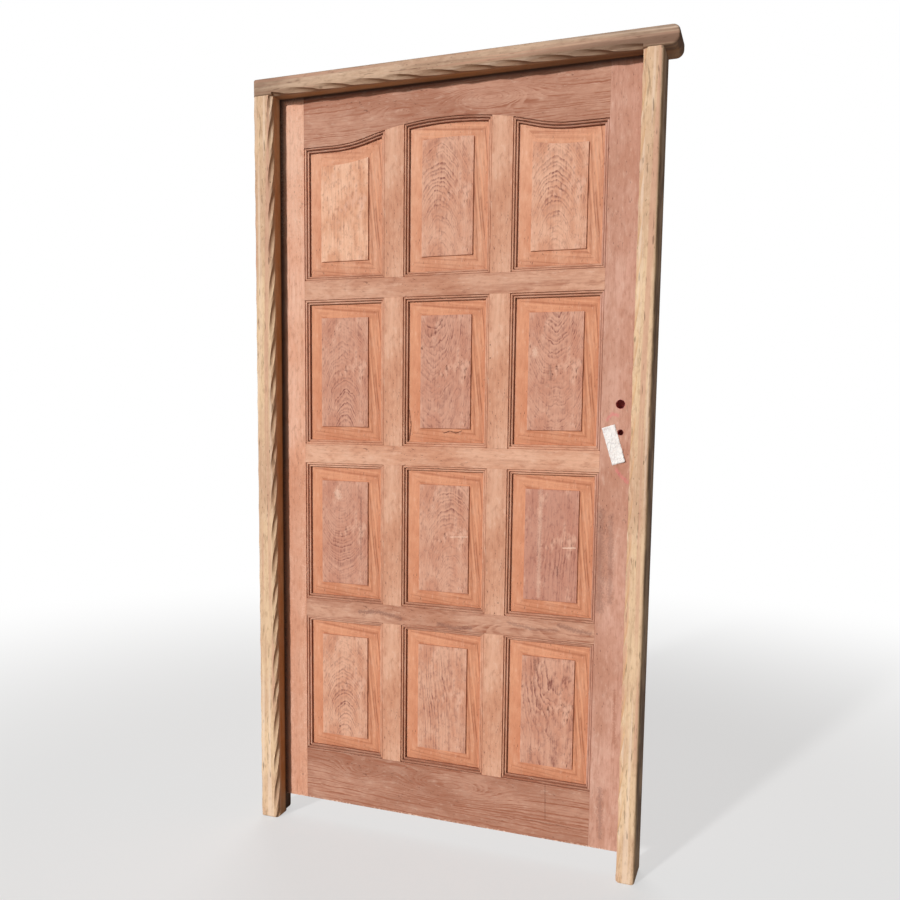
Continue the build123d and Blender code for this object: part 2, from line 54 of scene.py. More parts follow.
class Strand:
    """One thread of a finish: a shader socket that plain arithmetic can use."""

    def __init__(self, socket):
        self.socket = socket

    def node(self, kind, settings=None, inputs=None, output=0):
        """Adds a node: its settings are set first, then the values or links of its sockets."""
        tree = self.socket.id_data
        made = tree.nodes.new("ShaderNode" + kind)
        for name, value in (settings or {}).items():
            setattr(made, name, value)
        for name, value in (inputs or {}).items():
            if isinstance(value, Strand):
                tree.links.new(value.socket, made.inputs[name])
            else:
                made.inputs[name].default_value = value
        return Strand(made.outputs[output])

    def maths(self, operation, first, second=0.0):
        return self.node("Math", {"operation": operation}, {0: first, 1: second})

    def __add__(self, other):
        return self.maths("ADD", self, other)

    def __radd__(self, other):
        return self.maths("ADD", other, self)

    def __sub__(self, other):
        return self.maths("SUBTRACT", self, other)

    def __rsub__(self, other):
        return self.maths("SUBTRACT", other, self)

    def __mul__(self, other):
        return self.maths("MULTIPLY", self, other)

    def __rmul__(self, other):
        return self.maths("MULTIPLY", other, self)

    def __truediv__(self, other):
        return self.maths("DIVIDE", self, other)

    def __rtruediv__(self, other):
        return self.maths("DIVIDE", other, self)

    def __pow__(self, other):
        return self.maths("POWER", self, other)

    def __abs__(self):
        return self.maths("ABSOLUTE", self)

    def either(self, other):
        """The stronger of two masks."""
        return self.maths("MAXIMUM", self, other)

    def part(self, axis):
        """One axis of a place."""
        return self.node("SeparateXYZ", inputs={"Vector": self}, output=axis)

    def seen_from(self, centre, turn):
        """The same place in a board's own axes: across, through, and along the grain."""
        inputs = {"Vector": self, "Location": centre, "Rotation": turn}
        return self.node("Mapping", {"vector_type": "TEXTURE"}, inputs)

    def drawn(self, across, through, along):
        """The place scaled on each axis, so that what is laid on it is drawn out or packed."""
        return self.node("Mapping", inputs={"Vector": self, "Scale": (across, through, along)})

    def cloud(self, scale=1.0, detail=2.0, roughness=0.5):
        """Soft uneven mask between nought and one."""
        inputs = {"Vector": self, "Scale": scale, "Detail": detail, "Roughness": roughness}
        return self.node("TexNoise", inputs=inputs)

    def seasons(self, scale):
        """Uneven run of values along a count of rings, as good and lean years leave it."""
        inputs = {"W": self, "Scale": scale, "Detail": 1.0}
        return self.node("TexNoise", {"noise_dimensions": "1D"}, inputs)

    def fade(self, low, high):
        """Mask that rises smoothly between two values."""
        inputs = {"Value": self, "From Min": low, "From Max": high}
        return self.node("MapRange", {"interpolation_type": "SMOOTHSTEP"}, inputs)

    def tint(self, under, over):
        """Colour over another, where this mask lets it show."""
        return self.node("Mix", {"data_type": "RGBA"}, {0: self, 6: under, 7: over}, output=2)

    def layered(self, *layers):
        """This colour with others laid on it in turn, each where its mask lets it show."""
        colour = self
        for mask, over in layers:
            colour = mask.tint(colour, over)
        return colour

    def bump(self, strength, depth):
        """The surface with this height raised on it."""
        return self.node("Bump", inputs={"Strength": strength, "Distance": depth, "Height": self})

    def feed(self, socket):
        self.socket.id_data.links.new(self.socket, socket)


def tone(red, green, blue):
    """Colour as a paint card gives it, in steps of 255, turned into light."""
    steps = [step / 255 for step in (red, green, blue)]
    light = [s / 12.92 if s < 0.04045 else ((s + 0.055) / 1.055) ** 2.4 for s in steps]
    return (*light, 1.0)


def between(first, second, share):
    """Tone part of the way from one tone to another."""
    return tuple(a + (b - a) * share for a, b in zip(first, second))


def new_finish(name):
    """Empty finish, with its shader and the place on the piece."""
    finish = bpy.data.materials.new(name)
    finish.use_nodes = True
    nodes = finish.node_tree.nodes
    place = Strand(nodes.new("ShaderNodeTexCoord").outputs["Object"])
    return finish, nodes["Principled BSDF"], place


def near(board, x, z, width, length):
    """Soft round mask about a place on a board."""
    aside = (board.part("X") - x) / width
    ahead = (board.part("Z") - z) / length
    return board.maths("EXPONENT", 0 - aside * aside - ahead * ahead)


def growth(board, heart, ring, figure, eyes=()):
    """Growth rings about a heart line, swayed by the tree's figure and bulging round eyes.

    An eye is its place across and along the board, its width, its length and its bulge.
    """
    slow = board.drawn(1, 1, 0.4).cloud(9, 2) - 0.5
    quick = board.drawn(1, 1, 0.5).cloud(42, 2) - 0.5
    jagged = board.drawn(1, 1, 0.25).cloud(190, 2) - 0.5
    across = board.part("X") - heart[0]
    through = board.part("Y") - heart[1]
    radius = (across * across + through * through) ** 0.5
    radius = radius + slow * figure + quick * (figure * 0.3) + jagged * (ring * 0.55)
    for x, z, width, length, bulge in eyes:
        radius = radius + bulge * near(board, x, z, width, length)
    years = radius / ring
    years = years + years.seasons(0.4) * 1.4
    phase = years.maths("FRACT", years)
    strong = 0.3 + 0.7 * years.seasons(0.7).fade(0.36, 0.62)
    return phase.fade(0.15, 0.85) * (1 - phase.fade(0.88, 1.0)) * strong


sanded_pale = tone(255, 236, 216)


def raw_board(node, turn, heart, ring, figure, tones, lines, work, eyes=()):
    """Raw planed wood: mottled patches, faint streaks, rings broken by fibres, and a few pits."""
    light, deep, line, pore = tones
    pale = between(light, sanded_pale, 0.4)
    low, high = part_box(node)
    finish, shader, place = new_finish(node + "_raw")
    board = place.seen_from((low + high) / 2, turn)
    rings = growth(board, heart, ring, figure, eyes)
    patch = board.drawn(1, 1, 0.45).cloud(7, 4, 0.6)
    bloom = board.drawn(1, 1, 0.55).cloud(30, 3, 0.6)
    mottle = board.drawn(1, 1, 0.35).cloud(125, 4, 0.65)
    streaks = board.drawn(55, 55, 1.6).cloud(1, 3, 0.6)
    threads = board.drawn(300, 300, 12).cloud(1, 2)
    hairs = board.drawn(1100, 1100, 40).cloud(1, 2)
    pits = board.drawn(330, 330, 85).cloud(1, 1).fade(0.68, 0.75)
    broken = (0.3 + threads.fade(0.38, 0.6) * 0.7) * (0.25 + streaks.fade(0.4, 0.6) * 0.75)
    colour = patch.fade(0.36, 0.64).tint(light, deep).layered(
        (streaks.fade(0.5, 0.72) * 0.42, deep),
        (bloom.fade(0.5, 0.7) * 0.6, deep),
        ((1 - bloom.fade(0.3, 0.48)) * 0.16, pale),
        (mottle.fade(0.5, 0.7) * 0.38, line),
        ((1 - mottle.fade(0.3, 0.45)) * 0.3, pale),
        (rings * broken * lines, line),
        (threads.fade(0.5, 0.75) * 0.15, line),
        (hairs.fade(0.45, 0.75) * 0.2, line),
        (pits * patch.fade(0.4, 0.6) * 0.75, pore),
    )
    work(place, board, threads, colour).feed(shader.inputs["Base Color"])
    (0.62 + hairs * 0.22).feed(shader.inputs["Roughness"])
    relief = hairs * 0.5 + rings * 0.3 - pits * 0.6
    relief.bump(strength=0.25, depth=0.0004).feed(shader.inputs["Normal"])
    shader.inputs["Specular IOR Level"].default_value = 0.2
    return finish


def dress(node, finish):
    """Gives a piece its finish."""
    for slot in frame["nodes"][node].material_slots:
        slot.material = finish


straw_wood = tone(232, 200, 162)
tan_wood = tone(208, 170, 139)
frame_line = tone(158, 118, 88)
frame_pore = tone(96, 66, 46)
rose_band = tone(206, 156, 132)
pale_band = tone(240, 216, 194)
hollow_shade_brown = tone(132, 94, 62)
honey_highlight = tone(226, 186, 136)
reveal_shade_brown = tone(170, 117, 66)
outer_dirt_and_shade = tone(78, 54, 44)
corner_shade_black = tone(40, 22, 18)
soft_edge = 0.002
wide_edge = 0.01
hewn_depth = 0.016
stop_gap = 0.004
rebate_side = 0.012
front_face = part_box("hinge_post")[0].y
rebate_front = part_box("hinge_stile")[0].y - stop_gap
sight_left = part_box("hinge_post")[1].x
sight_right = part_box("lock_post")[0].x
outer_half = sight_right + 0.03
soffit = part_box("head")[0].z


def frame_work(place, board, threads, colour):
    """Rose and pale bands and dark dashes, with painted shade and light: hollows browned as painted shade
    (lit honey as a painted highlight on the lock post), reveals and soffit browned as painted shade, the lock
    post's outer side darkened partly as dirt and partly as painted shade, and the reveals blackened into the
    rebate as painted shade.
    """
    x, y, z = (place.part(axis) for axis in "XYZ")
    facing_x, facing_y, facing_z = (place.node("TexCoord", output="Normal").part(axis) for axis in "XYZ")
    bands = board.drawn(75, 75, 1.2).cloud(1, 2)
    dashes = board.drawn(150, 150, 20).cloud(1, 2).fade(0.62, 0.72)
    blotch = board.drawn(1, 1, 0.5).cloud(16, 3, 0.6)
    turned = (1 + facing_y).fade(0.04, 0.6)
    behind = y.fade(front_face + hewn_depth * 0.5, front_face + hewn_depth * 1.5)
    lock_side = x.fade(-wide_edge, wide_edge)
    on_lock_post = lock_side * (1 - z.fade(soffit - soft_edge * 2, soffit - soft_edge))
    inward = (facing_x * (1 - 2 * lock_side)).either(0 - facing_z).fade(0.3, 0.8)
    outer = facing_x.fade(0.4, 0.9) * x.fade(outer_half, outer_half + wide_edge)
    inside = x.fade(sight_left - rebate_side - soft_edge, sight_left - rebate_side)
    inside = inside * (1 - x.fade(sight_right + rebate_side, sight_right + rebate_side + soft_edge))
    inside = inside * (1 - z.fade(soffit + rebate_side, soffit + rebate_side + soft_edge))
    return colour.layered(
        (bands.fade(0.52, 0.66) * 0.6, rose_band),
        ((1 - bands.fade(0.34, 0.46)) * 0.5, pale_band),
        (dashes * 0.55, frame_pore),
        # Hollows turned from the front are browned as painted shade; on the lock post they get honey instead,
        # as a painted highlight.
        (turned * (0.6 - behind * 0.4), on_lock_post.tint(hollow_shade_brown, honey_highlight)),
        # The reveals and the soffit are browned and blotched as painted shade.
        (behind * inward * (0.6 + 0.35 * blotch.fade(0.35, 0.65)), reveal_shade_brown),
        # The lock post's outer side is darkened partly as dirt and partly as painted shade.
        (outer * (0.42 + 0.35 * blotch.fade(0.4, 0.6)), outer_dirt_and_shade),
        # The reveals are blackened into the rebate corner as painted shade.
        (inside * y.fade(rebate_front - wide_edge, rebate_front) * 0.85, corner_shade_black),
    )


post_turn = (0.012, 0.008, 0)
post_tones = (straw_wood, tan_wood, frame_line, frame_pore)
for node, heart in {"hinge_post": (0.05, 0.14), "lock_post": (-0.06, 0.15)}.items():
    finish = raw_board(
        node, post_turn, heart, ring=0.007, figure=0.012, tones=post_tones, lines=0.35, work=frame_work
    )
    dress(node, finish)

# Head: a heavier browner timber that lies on the posts and runs past the lock post.
# It has the same hewn arris below and a rounded end, and takes the posts' tenons. Its arris is
# browned as painted shade, and its ends are darkened partly as weathering and partly as painted shade,
# darkest towards the lock end.

head_turn = (0.0, math.pi / 2, 0.0)
head_tones = (tone(216, 184, 156), tone(188, 154, 128), tone(128, 97, 75), tone(88, 64, 48))
weather_and_shade = tone(96, 72, 58)
lock_end_darkening = (0.05, 0.5)
hinge_end_darkening = (-0.55, -0.4)
arris_foot = soffit + 0.006
arris_top = soffit + 0.034


def head_work(place, board, threads, colour):
    """The frame's work, with the arris browned as painted shade, and both ends darkened partly as grey-brown
    weathering and partly as painted shade.
    """
    lock_end = place.part("X").fade(*lock_end_darkening)
    hinge_end = 1 - place.part("X").fade(*hinge_end_darkening)
    arris = 1 - place.part("Z").fade(arris_foot, arris_top)
    grain = board.drawn(60, 60, 1.5).cloud(1, 3, 0.6).fade(0.42, 0.62)
    return frame_work(place, board, threads, colour).layered(
        # The head's front is browned towards the arris as painted shade.
        (arris * (0.18 + grain * 0.24), hollow_shade_brown),
        # Grey-brown weathering along the grain, and both ends darkened partly as weathering and partly as
        # painted shade.
        (grain * 0.16 + lock_end * (0.24 + grain * 0.3) + hinge_end * 0.32, weather_and_shade),
    )


head_heart = (0.02, 0.1)
finish = raw_board(
    "head", head_turn, head_heart, ring=0.008, figure=0.014, tones=head_tones, lines=0.35, work=head_work
)
dress("head", finish)

# Butt hinges: three pairs of pressed steel leaves with five knuckles on a loose pin,
# let into post and stile. Each leaf is held by three countersunk steel screws with
# crossed slots, driven home at whatever turn they stopped.


def dull_steel(name, colour, dark):
    """Plain rolled steel, dulled by handling."""
    finish, shader, place = new_finish(name)
    smear = place.cloud(60, 4, 0.6)
    scratch = place.drawn(900, 900, 60).cloud(1, 2)
    dulled = smear.fade(0.35, 0.7) * 0.6 + scratch.fade(0.55, 0.7) * 0.25
    dulled.tint(colour, dark).feed(shader.inputs["Base Color"])
    (0.34 + smear * 0.3).feed(shader.inputs["Roughness"])
    shader.inputs["Metallic"].default_value = 1.0
    scratch.bump(strength=0.15, depth=0.0001).feed(shader.inputs["Normal"])
    return finish


hinge_heights = ("top", "middle", "bottom")
hinge_steel = dull_steel("hinge_steel_dulled", tone(168, 166, 160), tone(108, 104, 98))
for height in hinge_heights:
    for part_name in ("frame_leaf", "door_leaf", "pin"):
        dress(f"{height}_hinge_{part_name}", hinge_steel)


def put(name, data):
    """Puts a mesh, a lamp or a camera in the scene under its name."""
    piece = bpy.data.objects.new(name, data)
    bpy.context.scene.collection.objects.link(piece)
    return piece


def fastener_tree():
    """Geometry nodes that set one fastener at each point, each at a turn of its own."""
    tree = bpy.data.node_groups.new("set_fasteners", "GeometryNodeTree")
    kinds = {"Points": "Geometry", "Fastener": "Object", "Aim": "Vector", "Seed": "Int", "Finish": "Material"}
    sockets = {}
    for name, kind in kinds.items():
        socket = tree.interface.new_socket(name, in_out="INPUT", socket_type="NodeSocket" + kind)
        sockets[name] = socket.identifier
    tree.interface.new_socket("Set", in_out="OUTPUT", socket_type="NodeSocketGeometry")
    given = tree.nodes.new("NodeGroupInput")
    pattern = tree.nodes.new("GeometryNodeObjectInfo")
    place = tree.nodes.new("GeometryNodeInstanceOnPoints")
    chance = tree.nodes.new("FunctionNodeRandomValue")
    chance.data_type = "FLOAT_VECTOR"
    chance.inputs["Min"].default_value = (0, 0, 0)
    chance.inputs["Max"].default_value = (0, 0, math.tau)
    turn = tree.nodes.new("GeometryNodeRotateInstances")
    solid = tree.nodes.new("GeometryNodeRealizeInstances")
    coat = tree.nodes.new("GeometryNodeSetMaterial")
    made = tree.nodes.new("NodeGroupOutput")
    for source, target in (
        (given.outputs["Fastener"], pattern.inputs["Object"]),
        (given.outputs["Points"], place.inputs["Points"]),
        (pattern.outputs["Geometry"], place.inputs["Instance"]),
        (given.outputs["Aim"], place.inputs["Rotation"]),
        (given.outputs["Seed"], chance.inputs["Seed"]),
        (place.outputs["Instances"], turn.inputs["Instances"]),
        (chance.outputs["Value"], turn.inputs["Rotation"]),
        (turn.outputs["Instances"], solid.inputs["Geometry"]),
        (solid.outputs["Geometry"], coat.inputs["Geometry"]),
        (given.outputs["Finish"], coat.inputs["Material"]),
        (coat.outputs["Geometry"], made.inputs["Set"]),
    ):
        tree.links.new(source, target)
    return tree, sockets


fastener_nodes, fastener_sockets = fastener_tree()


def set_fasteners(name, points, pattern, aim, seed, finish):
    """One piece with a fastener at each point, made by the geometry nodes and kept as a plain mesh."""
    mesh = bpy.data.meshes.new(name + "_points")
    mesh.from_pydata(points, [], [])
    maker = put(name + "_maker", mesh)
    nodes = maker.modifiers.new("set_fasteners", "NODES")
    nodes.node_group = fastener_nodes
    given = {"Fastener": pattern, "Aim": aim, "Seed": seed, "Finish": finish}
    for label, value in given.items():
        nodes[fastener_sockets[label]] = value
    view = bpy.context.evaluated_depsgraph_get()
    made = bpy.data.meshes.new_from_object(maker.evaluated_get(view), depsgraph=view)
    bpy.data.objects.remove(maker)
    made.name = name
    return put(name, made)


def crossed_screw(name, head_radius, head_depth, shank_radius, length, slot_width, slot_depth):
    """Pattern of a countersunk screw with its head at the origin and its tip below."""
    shape = bmesh.new()
    tip_start = shank_radius - length
    profile = ((0, 0), (head_radius, 0), (shank_radius, -head_depth), (shank_radius, tip_start), (0, -length))
    spots = [shape.verts.new((x, 0, z)) for x, z in profile]
    for first, second in zip(spots, spots[1:]):
        shape.edges.new((first, second))
    bmesh.ops.spin(
        shape, geom=shape.verts[:] + shape.edges[:], cent=(0, 0, 0), axis=(0, 0, 1), angle=math.tau, steps=24,
        use_duplicate=False,
    )
    bmesh.ops.remove_doubles(shape, verts=shape.verts, dist=0.00001)
    bmesh.ops.recalc_face_normals(shape, faces=shape.faces)
    mesh = bpy.data.meshes.new(name)
    shape.to_mesh(mesh)
    screw = put(name, mesh)
    slot_size = Matrix.Diagonal((head_radius * 1.3, slot_width, slot_depth * 2, 1))
    for turn in (0.0, math.pi / 2):
        cutter = bmesh.new()
        bmesh.ops.create_cube(cutter, size=1.0, matrix=Matrix.Rotation(turn, 4, "Z") @ slot_size)
        mesh = bpy.data.meshes.new(name + "_slot")
        cutter.to_mesh(mesh)
        slot = screw.modifiers.new("slot", "BOOLEAN")
        slot.object = put(name + "_slot", mesh)
        slot.object.hide_render = True
    return screw


screw_steel = dull_steel("screw_steel_bright", tone(190, 184, 170), tone(128, 120, 106))
screw_reach = 0.034
screw_stagger = 0.005
screw = crossed_screw(
    "screw_pattern", head_radius=0.004, head_depth=0.0025, shank_radius=0.0019, length=0.028,
    slot_width=0.0011, slot_depth=0.0012,
)
for side, body, quarter, seed in (("frame", "frame", 1, 3), ("door", "leaf", -1, 8)):
    node = side + "_hinge_screws"
    low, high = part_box(node)
    face = high.x if side == "frame" else low.x
    middle = (low.y + high.y) / 2
    points = []
    for height in hinge_heights:
        hinge_low, hinge_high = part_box(f"{height}_hinge_{side}_leaf")
        centre = (hinge_low.z + hinge_high.z) / 2
        for step in (-1, 0, 1):
            shift = -screw_stagger if step else screw_stagger
            points.append((face, middle + shift, centre + step * screw_reach))
    aim = (0, quarter * math.pi / 2, 0)
    screws = set_fasteners(side + "_crossed_screws", points, screw, aim, seed, screw_steel)
    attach(screws, body)
    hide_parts(node)
for spent in [slot.object for slot in screw.modifiers] + [screw]:
    bpy.data.objects.remove(spent)

# Stiles: the leaf's two full-height uprights, red-brown hardwood planed and left raw,
# with two beads and a groove worked on the inner edge. The lock stile is bored for a lock
# and carries smears of pink chalk and long stains.

peach = tone(230, 181, 152)
salmon = tone(212, 153, 122)
mauve = tone(194, 146, 123)
dusk = tone(168, 118, 96)
dusty_rose = tone(216, 172, 164)
rust_line = tone(160, 102, 78)
warm_rust = tone(194, 126, 94)
umber_pore = tone(104, 62, 48)
quirk_shade_rust = tone(118, 56, 38)
bore_maroon = tone(180, 98, 100)
chalk_pink = tone(226, 120, 128)
stain_grey = tone(122, 84, 74)
rub_pale = tone(246, 214, 190)
crack_dark = tone(78, 40, 30)
leaf_low, leaf_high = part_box("hinge_stile")
leaf_middle = (leaf_low.y + leaf_high.y) / 2
leaf_half = (leaf_high.y - leaf_low.y) / 2
lock_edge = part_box("lock_stile")[1].x
first_quirk_start = (0.0034, 0.0044)
first_quirk_end = (0.0052, 0.006)
second_quirk = (0.0084, 0.0094)
shadow_rim_left = 0.02
shadow_rim_right = 0.004
shadow_rim_top = 0.012
chip_height = 0.005
eased_width = 0.0006
bores = [mount for mount in frame["record"]["mounts"] if mount["kind"] == "bore"]


def ease(node, clamp=False):
    """Takes the sharpness off a piece's edges."""
    piece = frame["nodes"][node]
    weld = piece.modifiers.new("one_skin", "WELD")
    weld.merge_threshold = 0.000001
    flat = piece.modifiers.new("flat_faces", "DECIMATE")
    flat.decimate_type = "DISSOLVE"
    flat.angle_limit = 0.01
    edge = piece.modifiers.new("eased_edges", "BEVEL")
    edge.width = eased_width
    edge.segments = 2
    edge.limit_method = "ANGLE"
    edge.angle_limit = 0.6
    edge.use_clamp_overlap = clamp


def stroke(place, path, width):
    """Mask of a rough line on the leaf through a few places, given across and up."""
    rough = (place.cloud(260, 3, 0.6) - 0.5) * (width * 2.2)
    mask = None
    for start, end in zip(path, path[1:]):
        run = Vector(end) - Vector(start)
        aside = place.part("X") - start[0]
        above = place.part("Z") - start[1]
        share = (aside * run.x + above * run.y) / run.length_squared
        share = share.maths("MINIMUM", share.either(0.0), 1.0)
        off_x = aside - share * run.x
        off_z = above - share * run.y
        off = (off_x * off_x + off_z * off_z) ** 0.5 + rough
        line = 1 - off.fade(0.0, width)
        mask = line if mask is None else mask.either(line)
    return mask


def marked(place, colour, marks):
    """Colour with marks on the leaf's front, each with its path, width, tone and strength."""
    front = 1 - place.part("Y").fade(leaf_middle - soft_edge, leaf_middle + soft_edge)
    for path, width, mark, strength in marks:
        colour = (stroke(place, path, width) * front * strength).tint(colour, mark)
    return colour


def leaf_work(marks):
    """Work on a framing member: quirks darkened as painted shade on the mouldings turned from the key, maroon
    bores, a painted shadow along the leaf's edges beside the frame, chipped foot, and its marks.
    """

    def work(place, board, threads, colour):
        x, y, z = (place.part(axis) for axis in "XYZ")
        facing = place.node("TexCoord", output="Normal")
        turned_from_key = facing.part("X").either(0 - facing.part("Z")).fade(0.1, 0.6)
        depth = leaf_half - abs(y - leaf_middle)
        groove = depth.fade(*first_quirk_start) * (1 - depth.fade(*first_quirk_end))
        groove = groove.either(depth.fade(*second_quirk))
        within = x.fade(leaf_low.x + soft_edge / 2, leaf_low.x + soft_edge)
        within = within * z.fade(leaf_low.z, leaf_low.z + soft_edge)
        within = within * (1 - x.fade(lock_edge - soft_edge, lock_edge - soft_edge / 2))
        # The quirks are darkened as painted shade, most on the mouldings turned from the key light.
        colour = (groove * within * (0.05 + turned_from_key * 0.85)).tint(colour, quirk_shade_rust)
        for bore in bores:
            radius = bore["dims"]["r_mm"] / 1000
            inside = near(place, bore["pos_m"][0], bore["pos_m"][2], radius, radius).fade(0.28, 0.34)
            colour = (inside * 0.8).tint(colour, bore_maroon)
        # The frame's shadow is painted on the leaf along its hinge, lock and top edges.
        frame_shadow = 1 - x.fade(sight_left, sight_left + shadow_rim_left)
        frame_shadow = frame_shadow.either(x.fade(sight_right - shadow_rim_right, sight_right))
        frame_shadow = frame_shadow.either(z.fade(soffit - shadow_rim_top, soffit))
        front = 1 - y.fade(leaf_low.y + soft_edge, leaf_low.y + soft_edge * 2)
        chips = place.drawn(160, 160, 260).cloud(1, 2).fade(0.56, 0.6)
        foot = 1 - z.fade(leaf_low.z + soft_edge / 2, leaf_low.z + chip_height)
        colour = colour.layered((frame_shadow * front * 0.8, corner_shade_black), (chips * foot * 0.8, rub_pale))
        return marked(place, colour, marks)

    return work


def leaf_board(
    node, turn, heart, mauve_share, lines=0.2, ring=0.005, figure=0.012, eyes=(), marks=(), dusty=0.0
):
    """A framing member of the leaf, between peach and mauve, and dusty pink where it was handled."""
    light = between(between(peach, mauve, mauve_share), dusty_rose, dusty)
    deep = between(between(salmon, dusk, mauve_share), dusty_rose, dusty * 0.4)
    tones = (light, deep, rust_line, umber_pore)
    return raw_board(node, turn, heart, ring, figure, tones, lines, leaf_work(marks), eyes)


hinge_marks = (
    (((-0.475, 2.0), (-0.47, 1.7)), 0.05, rub_pale, 0.25),
    (((-0.47, 1.0), (-0.468, 0.1)), 0.07, warm_rust, 0.42),
)
lock_marks = (
    (((0.414, 1.183), (0.426, 1.198), (0.441, 1.195)), 0.006, chalk_pink, 0.45),
    (((0.441, 1.058), (0.456, 1.041), (0.469, 1.029)), 0.007, chalk_pink, 0.4),
    (((0.405, 0.95), (0.409, 0.7)), 0.018, stain_grey, 0.4),
    (((0.432, 0.94), (0.436, 0.72)), 0.012, stain_grey, 0.35),
    (((0.455, 0.49), (0.458, 0.35)), 0.006, rust_line, 0.55),
    (((0.425, 0.22), (0.43, 0.09)), 0.01, stain_grey, 0.4),
)
stile_boards = {
    "hinge_stile": dict(
        turn=(0.012, 0.006, 0), heart=(0.1, 0.16), mauve_share=-0.3, marks=hinge_marks, dusty=0.2,
    ),
    "lock_stile": dict(
        turn=(-0.012, 0.004, 0), heart=(-0.09, 0.14), mauve_share=0.6, lines=0.25,
        marks=lock_marks, dusty=0.3,
    ),
}
for node, board in stile_boards.items():
    dress(node, leaf_board(node, **board))
    ease(node)

# Rails: five cross members tenoned into the stiles, the top one cut below to a cathedral
# curve. They are of the same raw wood, each from another board, so their colours differ;
# the bottom one is pieced out with a let-in block.

rail_turn = (0.0, math.pi / 2, 0.02)
lower_rail_stains = (
    (((-0.27, 0.632), (-0.21, 0.637), (-0.144, 0.625)), 0.009, stain_grey, 0.55),
    (((-0.03, 0.619), (0.02, 0.612), (0.062, 0.616)), 0.009, stain_grey, 0.5),
    (((0.305, 0.648), (0.345, 0.638), (0.388, 0.633)), 0.009, stain_grey, 0.5),
    (((0.17, 0.641), (0.24, 0.63), (0.3, 0.634)), 0.007, stain_grey, 0.4),
)
block_seams = (
    (((0.279, 0.209), (0.2813, 0.111)), 0.0014, crack_dark, 0.6),
    (((0.24, 0.1041), (0.398, 0.1006)), 0.0014, crack_dark, 0.5),
)
rail_boards = {
    "top_rail": dict(
        heart=(-0.2, 0.2), mauve_share=0.9, lines=1.7, ring=0.0048,
        eyes=((-0.019, 0.114, 0.026, 0.1, 0.06), (-0.01, -0.13, 0.02, 0.06, 0.025)),
    ),
    "upper_cross_rail": dict(
        heart=(0.0, 0.22), mauve_share=0.4, lines=0.6, eyes=((0.0, -0.22, 0.02, 0.07, 0.016),),
    ),
    "middle_cross_rail": dict(heart=(0.06, 0.2), mauve_share=0.1, lines=0.3),
    "lower_cross_rail": dict(
        heart=(-0.04, 0.18), mauve_share=0.6, lines=1.1, ring=0.004,
        eyes=((0.0, -0.16, 0.02, 0.06, 0.012), (0.005, 0.2, 0.02, 0.08, 0.016)), marks=lower_rail_stains,
    ),
    "bottom_rail": dict(
        heart=(0.22, 0.2), mauve_share=0.95, lines=2.2, ring=0.0055,
        eyes=((-0.018, 0.03, 0.03, 0.13, 0.06), (-0.02, -0.25, 0.03, 0.07, 0.04)), marks=block_seams,
    ),
}
for node, board in rail_boards.items():
    dress(node, leaf_board(node, rail_turn, figure=0.016, **board))
    ease(node, clamp=node == "top_rail")

# Muntins: eight short uprights tenoned between the rails, beaded on both edges.
# They come from straight-grained pieces of the peach wood.

muntin_hearts = {"left": 0.08, "right": -0.08}
for row in range(1, 5):
    for side, heart_x in muntin_hearts.items():
        node = f"muntin_row{row}_{side}"
        turn = (0.012, 0.01 * row - 0.02, 0)
        heart = (heart_x, 0.14 + 0.02 * row)
        dress(node, leaf_board(node, turn, heart, mauve_share=0.12 + 0.05 * (row % 2)))
        ease(node)

# Joint pins: small dark iron brads driven through the tenons from the front,
# where they show beside the joints. They sit a hair above the wood.

finish, shader, place = new_finish("brad_iron")
rust = place.cloud(900, 3)
rust.fade(0.4, 0.7).tint(tone(58, 34, 28), tone(98, 54, 40)).feed(shader.inputs["Base Color"])
(0.6 + rust * 0.3).feed(shader.inputs["Roughness"])
shader.inputs["Metallic"].default_value = 0.4
brad_radius = 0.0019
brad_tip_radius = brad_radius * 0.8
brad_length = 0.004
brad_proud = 0.0002
brad_places = (
    (0.4057, 0.6343), (0.1055, 1.3725), (0.106, 1.339), (0.1391, 0.6925), (0.1302, 0.664), (-0.4536, 0.1247),
)
shape = bmesh.new()
bmesh.ops.create_cone(
    shape, cap_ends=True, segments=20, radius1=brad_radius, radius2=brad_tip_radius, depth=brad_length
)
bmesh.ops.translate(shape, verts=shape.verts, vec=(0, 0, brad_proud - brad_length / 2))
mesh = bpy.data.meshes.new("brad_pattern")
shape.to_mesh(mesh)
brad = put("brad_pattern", mesh)
points = [(x, leaf_low.y, z) for x, z in brad_places]
brads = set_fasteners("joint_brads", points, brad, (math.pi / 2, 0, 0), 5, finish)
bpy.data.objects.remove(brad)
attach(brads, "leaf")

# Panels: twelve raised and fielded boards, loose in the grooves. The bevels are cut across
# the rings and show orange flames; the fields keep a pinkish sanded face with the arches
# of the grain, short dark flecks and a few rubs and cracks.

flame = tone(220, 156, 121)
flame_deep = tone(206, 138, 104)
flame_line = tone(152, 84, 56)
flame_pale = tone(236, 172, 134)
calm_line = between(flame_deep, flame_line, 0.45)
field_rose = tone(184, 126, 110)
field_line = tone(132, 78, 68)
field_pale = tone(230, 184, 160)
field_step = 0.0046
field_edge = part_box("panel_row2_left")[1].y - leaf_middle - field_step * 0.5
field_margin = Vector((0.047, 0.0, 0.0505))
field_blur = 0.0003
mitre_blur = 0.001
arch_ring = 0.0034
strand_slant = -0.1
far_heart = 1.2


